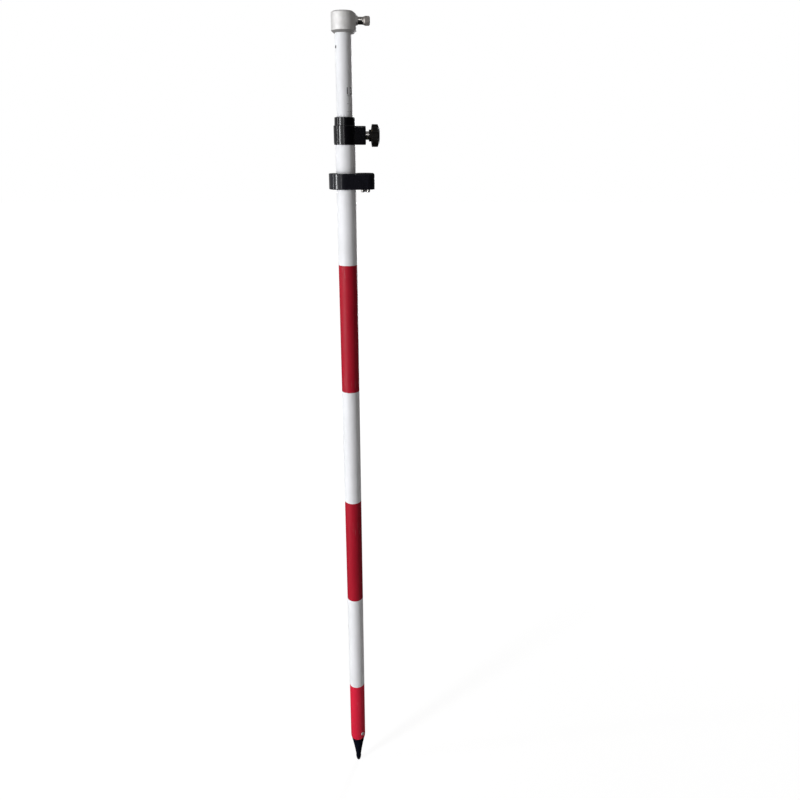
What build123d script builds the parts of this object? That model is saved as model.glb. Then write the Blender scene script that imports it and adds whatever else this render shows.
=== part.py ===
"""Survey prism pole: a banded telescopic pole with a level bracket and a prism socket."""

import os
from math import radians, tan

from build123d import *

# Sizes are in millimetres. The origin is the end of the point, +Z runs up the pole,
# and the clamp knob, the level and the head screw all face +X.

# Clearances, per side
fit_gap = 0.05
slide_gap = 0.08
free_gap = 0.3

# Tubes
band_length = 200.0
band_count = 6
lower_tube_od = 28.0
lower_tube_wall = 1.5
tube_spacing = 1.5
upper_tube_wall = 1.5
exposed_length = 102.7
collapsed_gap = 0.8
foot_room = 68.2

# Foot
point_length = 67.2
point_top_d = 27.0
point_hollow = 0.6
point_tip_d = 9.6
point_tip_length = 16.0
point_tip_bulge = 0.9
point_end_d = 5.8
point_end_height = 1.9
point_stud_d = 12.0
point_stud_length = 26.0
point_stud_room = 3.0
shoulder_length = 5.2
shoulder_end_d = 27.3
foot_plug_length = 40.0
rivet_height = 7.7
rivet_angle = -52.0
rivet_head_d = 6.5
rivet_head_height = 1.0
rivet_shank_d = 4.0
rivet_length = 6.0
rivet_bore_d = 2.4
rivet_bore_depth = 4.0

# Clamp collar
collar_rise = 2.4
neck_height = 10.6
neck_wall = 3.1
neck_taper = 0.3
ring_height = 25.1
ring_wall = 1.95
ring_lead = 0.5
ring_lead_height = 3.0
ring_shelf = 2.5
collar_round = 0.8
boss_length = 12.7
boss_width = 20.0
boss_height = 24.4
boss_round = 1.6
liner_length = 40.0
liner_flange = 1.5
insert_d = 16.0
insert_length = 11.0
collar_screw_d = 4.0

# Clamp knob
stud_d = 12.0
stud_neck_d = 11.2
stud_grip = 9.0
shoe_length = 5.0
knob_gap = 4.5
knob_hub_d = 15.6
knob_hub_length = 2.8
knob_d = 29.6
knob_thickness = 11.9
knob_back_slope = 1.2
knob_front_bevel = 2.6
knob_bevel_width = 5.2
knob_lobes = 6
knob_scallop_r = 6.5
knob_scallop_depth = 2.2
knob_lobe_round = 1.8
knob_dish_d = 15.0
knob_dish_depth = 1.0

# Lower end of the upper tube
bush_length = 40.0
stop_gap = 0.3
retainer_thickness = 1.2
retainer_depth = 0.5
retainer_opening = 40.0
end_plug_length = 22.0
end_plug_flange = 3.0

# Prism head
socket_d = 20.0
socket_depth = 20.0
socket_floor = 5.0
socket_lead = 0.8
head_wall = 5.65
head_offset = 1.2
head_chamfer_height = 2.6
head_chamfer_width = 3.2
head_rim_round = 2.6
head_stem_length = 36.0
facet_land = 0.4
facet_angle = 26.0
head_boss_stand = 1.85
head_boss_root_d = 19.0
head_boss_end_d = 10.8
head_screw_drop = 9.9
head_screw_d = 6.0
head_thread_length = 5.5
head_screw_play = 2.5
head_screw_neck_d = 9.2
head_screw_neck_length = 7.2
head_screw_flare = 4.2
head_screw_rim_d = 11.5
head_screw_rim_length = 6.4
head_screw_edge = 1.2
head_screw_recess_d = 7.0
head_screw_recess_depth = 1.2
knurl_count = 30
knurl_r = 0.4
head_pad_length = 1.9
grub_drop = 16.7
grub_angle = 202.0
grub_d = 4.0
grub_length = 6.0
grub_recess = 0.4
grub_key = 2.0
grub_key_depth = 2.0

# Level bracket
bracket_drop = 37.6
bracket_height = 21.7
bracket_wall = 6.0
bracket_back = 4.5
bracket_round = 1.2
level_web = 2.7
lobe_wall = 2.9
housing_d = 21.0
housing_wall = 1.3
housing_floor = 4.5
pocket_depth = 14.0
seat_thickness = 1.5
seat_width = 2.6
level_proud = 0.6
bezel_thickness = 0.5
bezel_flange = 1.8
bezel_lip = 2.2
glass_wall = 1.5
glass_cavity_height = 4.0
glass_dome = 0.9
bubble_d = 5.2
bubble_depth = 1.2
adjuster_count = 3
adjuster_d = 2.5
adjuster_pitch_d = 9.2
adjuster_grip = 3.5
adjuster_head_d = 5.4
adjuster_head_height = 4.0
adjuster_head_round = 1.5
adjuster_slot = 0.7
adjuster_slot_depth = 0.9
bracket_screw_d = 5.0
bracket_screw_recess = 0.6
bracket_screw_key = 2.5
bracket_screw_key_depth = 2.5
bracket_pad_length = 2.0

# Radii of the nested tubes
lower_tube_r = lower_tube_od / 2
lower_tube_ir = lower_tube_r - lower_tube_wall
upper_tube_r = lower_tube_ir - tube_spacing
upper_tube_ir = upper_tube_r - upper_tube_wall

# Heights up the pole
tube_bottom_z = point_length + shoulder_length
foot_plug_top_z = tube_bottom_z + foot_plug_length
collar_top_z = band_count * band_length + collar_rise
ring_top_z = collar_top_z - neck_height
ring_bottom_z = ring_top_z - ring_height
clamp_z = ring_bottom_z + ring_height / 2
liner_top_z = ring_top_z - ring_shelf
tube_top_z = liner_top_z - liner_flange
liner_bottom_z = tube_top_z - liner_length
head_bottom_z = collar_top_z + exposed_length
socket_floor_z = head_bottom_z + socket_floor
head_top_z = socket_floor_z + socket_depth
head_screw_z = head_top_z - head_screw_drop
end_plug_bottom_z = foot_plug_top_z + foot_room + exposed_length - collapsed_gap
upper_bottom_z = end_plug_bottom_z + end_plug_flange
bush_bottom_z = upper_bottom_z + stop_gap
retainer_z = bush_bottom_z + bush_length + stop_gap
bracket_top_z = ring_bottom_z - bracket_drop
bracket_bottom_z = bracket_top_z - bracket_height
bracket_mid_z = bracket_bottom_z + bracket_height / 2
pocket_floor_z = bracket_top_z - pocket_depth
housing_bottom_z = pocket_floor_z + seat_thickness
bezel_top_z = bracket_top_z + level_proud
housing_top_z = bezel_top_z - bezel_thickness
glass_bottom_z = housing_bottom_z + housing_floor + fit_gap
glass_top_z = housing_top_z - fit_gap

# Distances out from the pole's axis
ring_r = lower_tube_r + fit_gap + ring_wall
neck_r = upper_tube_r + free_gap + neck_wall
boss_face_x = ring_r + boss_length
stud_r = stud_d / 2
shoe_inner_x = upper_tube_r + slide_gap
shoe_outer_x = shoe_inner_x + shoe_length
stud_tip_x = shoe_outer_x + fit_gap
hub_x = boss_face_x + knob_gap
knob_back_x = hub_x + knob_hub_length
knob_front_x = knob_back_x + knob_thickness
socket_r = socket_d / 2
head_r = socket_r + head_wall + head_offset
head_boss_x = head_offset + head_r + head_boss_stand
counterbore_x = socket_r + head_thread_length
head_pad_x = socket_r + free_gap
head_screw_tip_x = head_pad_x + head_pad_length + fit_gap
head_neck_x = counterbore_x + head_screw_play
head_flare_x = head_neck_x + head_screw_neck_length
head_rim_x = head_flare_x + head_screw_flare
head_screw_end_x = head_rim_x + head_screw_rim_length
pocket_r = housing_d / 2 + free_gap
lobe_r = pocket_r + lobe_wall
level_x = lower_tube_r + slide_gap + level_web + pocket_r
bracket_r = lower_tube_r + bracket_wall
bracket_back_x = bracket_back + bracket_r
bracket_pad_x = lower_tube_r + slide_gap
bracket_screw_x = bracket_pad_x + bracket_pad_length + fit_gap
rivet_inner_r = lower_tube_r - rivet_length
grub_outer_r = upper_tube_r - grub_recess
grub_inner_r = grub_outer_r - grub_length
glass_r = housing_d / 2 - housing_wall - fit_gap
glass_cavity_r = glass_r - glass_wall

os.makedirs("parts", exist_ok=True)


def radial_plane(angle, height, reach=0.0):
    """Plane facing outwards from the pole's axis, at an angle in degrees."""
    outwards = Vector(1, 0, 0).rotate(Axis.Z, angle)
    tangent = Vector(0, 0, 1).cross(outwards)
    origin = outwards * reach + Vector(0, 0, height)
    return Plane(origin=origin, x_dir=tangent, z_dir=outwards)


def section_plane(height):
    """Upright plane through the pole's axis, with its origin at a height."""
    return Plane(origin=(0, 0, height), x_dir=(1, 0, 0), z_dir=(0, -1, 0))


def sideways_axis(height):
    """Axis that points to +X at a height."""
    return Axis((0, 0, height), (1, 0, 0))


knob_side = 0.0
back_side = 90.0
bracket_back_side = 180.0
rivet_angles = (rivet_angle, rivet_angle + 180.0)

# Lower tube, with holes for the clamp shoe, the collar screw and the rivets
with BuildPart() as lower_tube:
    with BuildSketch(Plane.XY.offset(tube_bottom_z)):
        Circle(lower_tube_r)
        Circle(lower_tube_ir, mode=Mode.SUBTRACT)
    extrude(amount=tube_top_z - tube_bottom_z)
    with BuildSketch(radial_plane(knob_side, clamp_z)):
        Circle(stud_r + free_gap)
    extrude(amount=lower_tube_od, mode=Mode.SUBTRACT)
    with BuildSketch(radial_plane(back_side, clamp_z)):
        Circle(collar_screw_d / 2 + fit_gap)
    extrude(amount=lower_tube_od, mode=Mode.SUBTRACT)
    with BuildSketch(radial_plane(rivet_angle, tube_bottom_z + rivet_height)):
        Circle(rivet_shank_d / 2 + fit_gap)
    extrude(amount=lower_tube_od, both=True, mode=Mode.SUBTRACT)
lower_tube.part.label = "lower_tube"
export_step(lower_tube.part, "parts/lower_tube.step")

# Foot plug, whose conical shoulder closes the tube
with BuildPart() as foot_plug:
    with BuildSketch(Plane.XZ):
        with BuildLine():
            Polyline(
                (0, point_length),
                (shoulder_end_d / 2, point_length),
                (lower_tube_r, tube_bottom_z),
                (lower_tube_ir - fit_gap, tube_bottom_z),
                (lower_tube_ir - fit_gap, foot_plug_top_z),
                (0, foot_plug_top_z),
                close=True,
            )
        make_face()
    revolve(axis=Axis.Z)
    with BuildSketch(Plane.XY.offset(point_length)):
        Circle(point_stud_d / 2 + fit_gap)
    extrude(amount=point_stud_length + point_stud_room, mode=Mode.SUBTRACT)
    for angle in rivet_angles:
        with BuildSketch(radial_plane(angle, tube_bottom_z + rivet_height, rivet_inner_r - fit_gap)):
            Circle(rivet_shank_d / 2 + fit_gap)
        extrude(amount=lower_tube_r, mode=Mode.SUBTRACT)
foot_plug.part.label = "foot_plug"
export_step(foot_plug.part, "parts/foot_plug.step")

# Point, a slightly hollow cone with a blunt, bulged tip and a threaded stud
with BuildPart() as pole_point:
    tip_mid_r = (point_tip_d + point_end_d) / 4 + point_tip_bulge
    tip_mid_z = (point_tip_length + point_end_height) / 2
    cone_mid_r = (point_tip_d + point_top_d) / 4 - point_hollow
    cone_mid_z = (point_tip_length + point_length) / 2
    stud_top_z = point_length + point_stud_length
    with BuildSketch(Plane.XZ):
        with BuildLine():
            TangentArc((0, 0), (point_end_d / 2, point_end_height), tangent=(1, 0))
            ThreePointArc(
                (point_end_d / 2, point_end_height),
                (tip_mid_r, tip_mid_z),
                (point_tip_d / 2, point_tip_length),
            )
            ThreePointArc(
                (point_tip_d / 2, point_tip_length),
                (cone_mid_r, cone_mid_z),
                (point_top_d / 2, point_length),
            )
            Polyline(
                (point_top_d / 2, point_length),
                (point_stud_d / 2, point_length),
                (point_stud_d / 2, stud_top_z),
                (0, stud_top_z),
                (0, 0),
            )
        make_face()
    revolve(axis=Axis.Z)
pole_point.part.label = "pole_point"
export_step(pole_point.part, "parts/pole_point.step")

# Hollow rivets through the tube into the foot plug
with BuildPart() as foot_rivets:
    rivet_z = tube_bottom_z + rivet_height
    for angle in rivet_angles:
        with BuildSketch(radial_plane(angle, rivet_z, rivet_inner_r)):
            Circle(rivet_head_d / 2)
        extrude(amount=rivet_length + rivet_head_height)
    rims = foot_rivets.edges().filter_by(GeomType.CIRCLE)
    outer_rims = rims.filter_by(lambda rim: Vector(rim.arc_center.X, rim.arc_center.Y).length > lower_tube_r)
    fillet(outer_rims, rivet_head_height / 2)
    with BuildSketch(Plane.XY.offset(rivet_z - rivet_head_d)):
        Circle(lower_tube_r)
    extrude(amount=2 * rivet_head_d, mode=Mode.SUBTRACT)
    for angle in rivet_angles:
        with BuildSketch(radial_plane(angle, rivet_z, rivet_inner_r)):
            Circle(rivet_shank_d / 2)
        extrude(amount=rivet_length + rivet_head_height / 2)
    for angle in rivet_angles:
        bore_start = lower_tube_r + rivet_head_height - rivet_bore_depth
        with BuildSketch(radial_plane(angle, rivet_z, bore_start)):
            Circle(rivet_bore_d / 2)
        extrude(amount=rivet_bore_depth, mode=Mode.SUBTRACT)
foot_rivets.part.label = "foot_rivets"
export_step(foot_rivets.part, "parts/foot_rivets.step")

# Clamp collar: a neck around the upper tube, a ring on the lower tube and a square boss
with BuildPart() as clamp_collar:
    with BuildSketch(Plane.XZ):
        with BuildLine():
            Polyline(
                (0, ring_bottom_z),
                (ring_r - ring_lead, ring_bottom_z),
                (ring_r, ring_bottom_z + ring_lead_height),
                (ring_r, ring_top_z),
                (neck_r + neck_taper, ring_top_z),
                (neck_r, collar_top_z),
                (0, collar_top_z),
                close=True,
            )
        make_face()
    revolve(axis=Axis.Z)
    turned_edges = clamp_collar.edges().filter_by(GeomType.CIRCLE).sort_by(Axis.Z)
    ring_corner = turned_edges.filter_by_position(Axis.Z, ring_top_z, ring_top_z).sort_by(SortBy.RADIUS)[-1]
    fillet([turned_edges[0], ring_corner, turned_edges[-1]], collar_round)
    with BuildSketch(radial_plane(knob_side, clamp_z)):
        RectangleRounded(boss_width, boss_height, boss_round)
    extrude(amount=boss_face_x)
    boss_face = clamp_collar.faces().sort_by(Axis.X)[-1]
    fillet(boss_face.edges(), boss_round / 2)
    with BuildSketch(Plane.XY.offset(ring_bottom_z)):
        Circle(lower_tube_r + fit_gap)
    extrude(amount=liner_top_z - ring_bottom_z, mode=Mode.SUBTRACT)
    with BuildSketch(Plane.XY.offset(liner_top_z)):
        Circle(upper_tube_r + free_gap)
    extrude(amount=collar_top_z - liner_top_z, mode=Mode.SUBTRACT)
    with BuildSketch(radial_plane(knob_side, clamp_z)):
        Circle(stud_r + slide_gap)
    extrude(amount=boss_face_x, mode=Mode.SUBTRACT)
    with BuildSketch(radial_plane(knob_side, clamp_z, boss_face_x - insert_length)):
        Circle(insert_d / 2 + fit_gap)
    extrude(amount=insert_length, mode=Mode.SUBTRACT)
    with BuildSketch(radial_plane(back_side, clamp_z)):
        Circle(collar_screw_d / 2 + fit_gap)
    extrude(amount=2 * ring_r, mode=Mode.SUBTRACT)
clamp_collar.part.label = "clamp_collar"
export_step(clamp_collar.part, "parts/clamp_collar.step")

# Liner, the plain bearing in the top of the lower tube
with BuildPart() as collar_liner:
    with BuildSketch(Plane.XY.offset(liner_bottom_z)):
        Circle(lower_tube_ir - fit_gap)
    extrude(amount=liner_length + liner_flange)
    with BuildSketch(Plane.XY.offset(tube_top_z)):
        Circle(lower_tube_r)
    extrude(amount=liner_flange)
    with BuildSketch(Plane.XY.offset(liner_bottom_z)):
        Circle(upper_tube_r + slide_gap)
    extrude(amount=liner_length + liner_flange, mode=Mode.SUBTRACT)
    with BuildSketch(radial_plane(knob_side, clamp_z)):
        Circle(stud_r + free_gap)
    extrude(amount=lower_tube_od, mode=Mode.SUBTRACT)
collar_liner.part.label = "collar_liner"
export_step(collar_liner.part, "parts/collar_liner.step")

# Threaded insert in the boss
with BuildPart() as clamp_insert:
    with BuildSketch(radial_plane(knob_side, clamp_z, boss_face_x - insert_length)):
        Circle(insert_d / 2)
        Circle(stud_r + slide_gap, mode=Mode.SUBTRACT)
    extrude(amount=insert_length)
clamp_insert.part.label = "clamp_insert"
export_step(clamp_insert.part, "parts/clamp_insert.step")

# Set screw that keeps the collar on the tube
with BuildPart() as collar_screw:
    with BuildSketch(radial_plane(back_side, clamp_z, lower_tube_ir)):
        Circle(collar_screw_d / 2)
    extrude(amount=ring_r - lower_tube_ir - grub_recess)
    with BuildSketch(radial_plane(back_side, clamp_z, ring_r - grub_recess - grub_key_depth)):
        RegularPolygon(grub_key / 2, 6, major_radius=False)
    extrude(amount=grub_key_depth, mode=Mode.SUBTRACT)
collar_screw.part.label = "collar_screw"
export_step(collar_screw.part, "parts/collar_screw.step")

# Clamp shoe, hollowed to the upper tube
with BuildPart() as clamp_shoe:
    with BuildSketch(radial_plane(knob_side, clamp_z)):
        Circle(stud_r)
    extrude(amount=shoe_outer_x)
    with BuildSketch(Plane.XY.offset(clamp_z - stud_d)):
        Circle(shoe_inner_x)
    extrude(amount=2 * stud_d, mode=Mode.SUBTRACT)
clamp_shoe.part.label = "clamp_shoe"
export_step(clamp_shoe.part, "parts/clamp_shoe.step")

# Clamp stud: a thread in the insert and a thinner neck into the knob
with BuildPart() as clamp_stud:
    with BuildSketch(radial_plane(knob_side, clamp_z, stud_tip_x)):
        Circle(stud_r)
    extrude(amount=boss_face_x - stud_tip_x)
    with BuildSketch(radial_plane(knob_side, clamp_z, boss_face_x)):
        Circle(stud_neck_d / 2)
    extrude(amount=knob_gap + stud_grip)
clamp_stud.part.label = "clamp_stud"
export_step(clamp_stud.part, "parts/clamp_stud.step")

# Clamp knob: a lobed disc with a hub, a sloped back, a bevelled front and a shallow dish
with BuildPart() as clamp_knob:
    knob_r = knob_d / 2
    scallop_centre_r = knob_r + knob_scallop_r - knob_scallop_depth
    with BuildSketch(radial_plane(knob_side, clamp_z, hub_x)) as lobed_outline:
        Circle(knob_r)
        with PolarLocations(scallop_centre_r, knob_lobes):
            Circle(knob_scallop_r, mode=Mode.SUBTRACT)
        fillet(lobed_outline.vertices(), knob_lobe_round)
    extrude(amount=knob_front_x - hub_x)
    with BuildSketch(section_plane(clamp_z)):
        with BuildLine():
            Polyline(
                (hub_x, 0),
                (hub_x, knob_hub_d / 2),
                (knob_back_x, knob_hub_d / 2),
                (knob_back_x + knob_back_slope, knob_r),
                (knob_front_x - knob_front_bevel, knob_r),
                (knob_front_x, knob_r - knob_bevel_width),
                (knob_front_x, knob_dish_d / 2),
                (knob_front_x - knob_dish_depth, knob_dish_d / 2 - knob_dish_depth),
                (knob_front_x - knob_dish_depth, 0),
                close=True,
            )
        make_face()
    revolve(axis=sideways_axis(clamp_z), mode=Mode.INTERSECT)
    with BuildSketch(radial_plane(knob_side, clamp_z, hub_x)):
        Circle(stud_neck_d / 2 + fit_gap)
    extrude(amount=stud_grip, mode=Mode.SUBTRACT)
clamp_knob.part.label = "clamp_knob"
export_step(clamp_knob.part, "parts/clamp_knob.step")

# Upper tube, with a groove for the bush retainer and a hole for the grub screw
with BuildPart() as upper_tube:
    with BuildSketch(Plane.XY.offset(upper_bottom_z)):
        Circle(upper_tube_r)
        Circle(upper_tube_ir, mode=Mode.SUBTRACT)
    extrude(amount=head_bottom_z - upper_bottom_z)
    with BuildSketch(Plane.XY.offset(retainer_z - fit_gap)):
        Circle(upper_tube_r)
        Circle(upper_tube_r - retainer_depth, mode=Mode.SUBTRACT)
    extrude(amount=retainer_thickness + 2 * fit_gap, mode=Mode.SUBTRACT)
    with BuildSketch(radial_plane(grub_angle, head_bottom_z - grub_drop)):
        Circle(grub_d / 2 + fit_gap)
    extrude(amount=2 * upper_tube_r, mode=Mode.SUBTRACT)
upper_tube.part.label = "upper_tube"
export_step(upper_tube.part, "parts/upper_tube.step")

# Guide bush that runs inside the lower tube
with BuildPart() as guide_bush:
    with BuildSketch(Plane.XY.offset(bush_bottom_z)):
        Circle(lower_tube_ir - slide_gap)
        Circle(upper_tube_r + slide_gap, mode=Mode.SUBTRACT)
    extrude(amount=bush_length)
guide_bush.part.label = "guide_bush"
export_step(guide_bush.part, "parts/guide_bush.step")

# Open retainer ring in the upper tube's groove
with BuildPart() as bush_retainer:
    with BuildSketch(Plane.XY.offset(retainer_z)):
        Circle(lower_tube_ir - free_gap)
        Circle(upper_tube_r - retainer_depth + fit_gap, mode=Mode.SUBTRACT)
        with BuildLine():
            opening_edge = Vector(lower_tube_od, 0).rotate(Axis.Z, retainer_opening / 2)
            Polyline((0, 0), opening_edge, (opening_edge.X, -opening_edge.Y), close=True)
        make_face(mode=Mode.SUBTRACT)
    extrude(amount=retainer_thickness)
bush_retainer.part.label = "bush_retainer"
export_step(bush_retainer.part, "parts/bush_retainer.step")

# Plug in the lower end of the upper tube
with BuildPart() as end_plug:
    with BuildSketch(Plane.XY.offset(end_plug_bottom_z)):
        Circle(lower_tube_ir - free_gap)
    extrude(amount=end_plug_flange)
    with BuildSketch(Plane.XY.offset(upper_bottom_z)):
        Circle(upper_tube_ir - fit_gap)
    extrude(amount=end_plug_length)
end_plug.part.label = "end_plug"
export_step(end_plug.part, "parts/end_plug.step")

# Prism head: an off-centre cup with a chamfered foot, a boss for the screw and a stem in the tube
with BuildPart() as prism_head:
    with BuildSketch(Plane(origin=(head_offset, 0, 0), x_dir=(1, 0, 0), z_dir=(0, -1, 0))):
        with BuildLine():
            Polyline(
                (0, head_bottom_z),
                (head_r - head_chamfer_width, head_bottom_z),
                (head_r, head_bottom_z + head_chamfer_height),
                (head_r, head_top_z),
                (0, head_top_z),
                close=True,
            )
        make_face()
    revolve(axis=Axis((head_offset, 0, 0), (0, 0, 1)))
    rim_edge = prism_head.edges().filter_by(GeomType.CIRCLE).sort_by(Axis.Z)[-1]
    fillet(rim_edge, head_rim_round)
    with BuildSketch(section_plane(head_screw_z)):
        with BuildLine():
            Polyline(
                (socket_r, 0),
                (socket_r, head_boss_root_d / 2),
                (head_boss_x, head_boss_end_d / 2),
                (head_boss_x, 0),
                close=True,
            )
        make_face()
    revolve(axis=sideways_axis(head_screw_z))
    facet_x = socket_r + socket_lead + facet_land
    facet_end_x = head_boss_x + head_wall
    facet_end_z = head_top_z - (facet_end_x - facet_x) * tan(radians(facet_angle))
    with BuildSketch(Plane.XZ):
        with BuildLine():
            Polyline(
                (facet_x, head_top_z),
                (facet_end_x, head_top_z),
                (facet_end_x, facet_end_z),
                close=True,
            )
        make_face()
    extrude(amount=head_r, both=True, mode=Mode.SUBTRACT)
    with BuildSketch(Plane.XY.offset(head_bottom_z - head_stem_length)):
        Circle(upper_tube_ir - fit_gap)
    extrude(amount=head_stem_length + socket_floor)
    with BuildSketch(Plane.XY.offset(socket_floor_z)):
        Circle(socket_r)
    extrude(amount=socket_depth, mode=Mode.SUBTRACT)
    mouth_edges = prism_head.edges().filter_by(GeomType.CIRCLE).filter_by_position(
        Axis.Z, head_top_z - fit_gap, head_top_z + fit_gap)
    chamfer(mouth_edges.sort_by(SortBy.RADIUS)[0], socket_lead)
    with BuildSketch(radial_plane(knob_side, head_screw_z)):
        Circle(head_screw_d / 2 + slide_gap)
    extrude(amount=head_boss_x, mode=Mode.SUBTRACT)
    with BuildSketch(radial_plane(knob_side, head_screw_z, counterbore_x)):
        Circle(head_screw_neck_d / 2 + free_gap)
    extrude(amount=head_boss_x - counterbore_x, mode=Mode.SUBTRACT)
    with BuildSketch(radial_plane(grub_angle, head_bottom_z - grub_drop, grub_inner_r - fit_gap)):
        Circle(grub_d / 2 + fit_gap)
    extrude(amount=upper_tube_r, mode=Mode.SUBTRACT)
prism_head.part.label = "prism_head"
export_step(prism_head.part, "parts/prism_head.step")

# Grub screw that keeps the head in the tube
with BuildPart() as head_grub_screw:
    with BuildSketch(radial_plane(grub_angle, head_bottom_z - grub_drop, grub_inner_r)):
        Circle(grub_d / 2)
    extrude(amount=grub_length)
    with BuildSketch(radial_plane(grub_angle, head_bottom_z - grub_drop, grub_outer_r - grub_key_depth)):
        RegularPolygon(grub_key / 2, 6, major_radius=False)
    extrude(amount=grub_key_depth, mode=Mode.SUBTRACT)
head_grub_screw.part.label = "head_grub_screw"
export_step(head_grub_screw.part, "parts/head_grub_screw.step")

# Head clamp screw: thread, smooth neck, bell-shaped flare and a knurled rim
with BuildPart() as head_screw:
    rim_r = head_screw_rim_d / 2
    neck_end = (head_flare_x, head_screw_neck_d / 2)
    with BuildSketch(section_plane(head_screw_z)):
        with BuildLine():
            Polyline(
                (head_rim_x, rim_r),
                (head_screw_end_x - head_screw_edge, rim_r),
                (head_screw_end_x, rim_r - head_screw_edge),
                (head_screw_end_x, head_screw_recess_d / 2),
                (head_screw_end_x - head_screw_recess_depth, head_screw_recess_d / 2),
                (head_screw_end_x - head_screw_recess_depth, 0),
                (head_screw_tip_x, 0),
                (head_screw_tip_x, head_screw_d / 2),
                (head_neck_x, head_screw_d / 2),
                (head_neck_x, head_screw_neck_d / 2),
                neck_end,
            )
            TangentArc(neck_end, (head_rim_x, rim_r), tangent=(1, 0))
        make_face()
    revolve(axis=sideways_axis(head_screw_z))
    with BuildSketch(radial_plane(knob_side, head_screw_z, head_rim_x)):
        with PolarLocations(rim_r, knurl_count):
            Circle(knurl_r)
    extrude(amount=head_screw_rim_length, mode=Mode.SUBTRACT)
head_screw.part.label = "head_screw"
export_step(head_screw.part, "parts/head_screw.step")

# Pad that the head screw presses on the prism's plug
with BuildPart() as head_pad:
    with BuildSketch(radial_plane(knob_side, head_screw_z, head_pad_x)):
        Circle(head_screw_d / 2)
    extrude(amount=head_pad_length)
head_pad.part.label = "head_pad"
export_step(head_pad.part, "parts/head_pad.step")

# Level bracket: a thick eye on the tube with a round lobe for the level
with BuildPart() as level_bracket:
    with BuildSketch(Plane.XY.offset(bracket_bottom_z)):
        with Locations((-bracket_back, 0)):
            Circle(bracket_r)
        with Locations((level_x, 0)):
            Circle(lobe_r)
        make_hull()
    extrude(amount=bracket_height)
    outline_edges = level_bracket.edges().filter_by(Plane.XY)
    fillet(outline_edges, bracket_round)
    with BuildSketch(Plane.XY.offset(bracket_bottom_z)):
        Circle(lower_tube_r + slide_gap)
    extrude(amount=bracket_height, mode=Mode.SUBTRACT)
    with BuildSketch(Plane.XY.offset(pocket_floor_z)):
        with Locations((level_x, 0)):
            Circle(pocket_r)
    extrude(amount=pocket_depth, mode=Mode.SUBTRACT)
    with BuildSketch(Plane.XY.offset(bracket_bottom_z)):
        with Locations((level_x, 0)):
            with PolarLocations(adjuster_pitch_d / 2, adjuster_count, start_angle=back_side):
                Circle(adjuster_d / 2 + free_gap)
    extrude(amount=bracket_height, mode=Mode.SUBTRACT)
    with BuildSketch(radial_plane(bracket_back_side, bracket_mid_z)):
        Circle(bracket_screw_d / 2 + fit_gap)
    extrude(amount=bracket_back_x, mode=Mode.SUBTRACT)
level_bracket.part.label = "level_bracket"
export_step(level_bracket.part, "parts/level_bracket.step")

# Springy ring under the level housing
with BuildPart() as level_seat_ring:
    with BuildSketch(Plane.XY.offset(pocket_floor_z)):
        with Locations((level_x, 0)):
            Circle(housing_d / 2)
            Circle(housing_d / 2 - seat_width, mode=Mode.SUBTRACT)
    extrude(amount=seat_thickness)
level_seat_ring.part.label = "level_seat_ring"
export_step(level_seat_ring.part, "parts/level_seat_ring.step")

# Level housing, a cup with threaded holes in its floor
with BuildPart() as level_housing:
    with BuildSketch(Plane.XY.offset(housing_bottom_z)):
        with Locations((level_x, 0)):
            Circle(housing_d / 2)
    extrude(amount=housing_top_z - housing_bottom_z)
    with BuildSketch(Plane.XY.offset(housing_bottom_z + housing_floor)):
        with Locations((level_x, 0)):
            Circle(housing_d / 2 - housing_wall)
    extrude(amount=housing_top_z - housing_bottom_z, mode=Mode.SUBTRACT)
    with BuildSketch(Plane.XY.offset(housing_bottom_z)):
        with Locations((level_x, 0)):
            with PolarLocations(adjuster_pitch_d / 2, adjuster_count, start_angle=back_side):
                Circle(adjuster_d / 2 + fit_gap)
    extrude(amount=adjuster_grip + fit_gap, mode=Mode.SUBTRACT)
level_housing.part.label = "level_housing"
export_step(level_housing.part, "parts/level_housing.step")

# Bezel that keeps the glass in the housing, with a flange over the pocket's edge
with BuildPart() as level_bezel:
    with BuildSketch(Plane.XY.offset(housing_top_z)):
        with Locations((level_x, 0)):
            Circle(housing_d / 2 + bezel_flange)
            Circle(housing_d / 2 - bezel_lip, mode=Mode.SUBTRACT)
    extrude(amount=bezel_thickness)
    bezel_rims = level_bezel.edges().group_by(Axis.Z)[-1]
    fillet(bezel_rims, bezel_thickness / 2 - fit_gap)
level_bezel.part.label = "level_bezel"
export_step(level_bezel.part, "parts/level_bezel.step")

# Glass of the level, domed inside
with BuildPart() as level_glass:
    dome_edge = (glass_cavity_r, glass_bottom_z + glass_cavity_height)
    dome_top = (0, glass_bottom_z + glass_cavity_height + glass_dome)
    with BuildSketch(Plane(origin=(level_x, 0, 0), x_dir=(1, 0, 0), z_dir=(0, -1, 0))):
        with BuildLine():
            TangentArc(dome_top, dome_edge, tangent=(1, 0))
            Polyline(
                dome_edge,
                (glass_cavity_r, glass_bottom_z),
                (glass_r, glass_bottom_z),
                (glass_r, glass_top_z),
                (0, glass_top_z),
                dome_top,
            )
        make_face()
    revolve(axis=Axis((level_x, 0, 0), (0, 0, 1)))
level_glass.part.label = "level_glass"
export_step(level_glass.part, "parts/level_glass.step")

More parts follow.
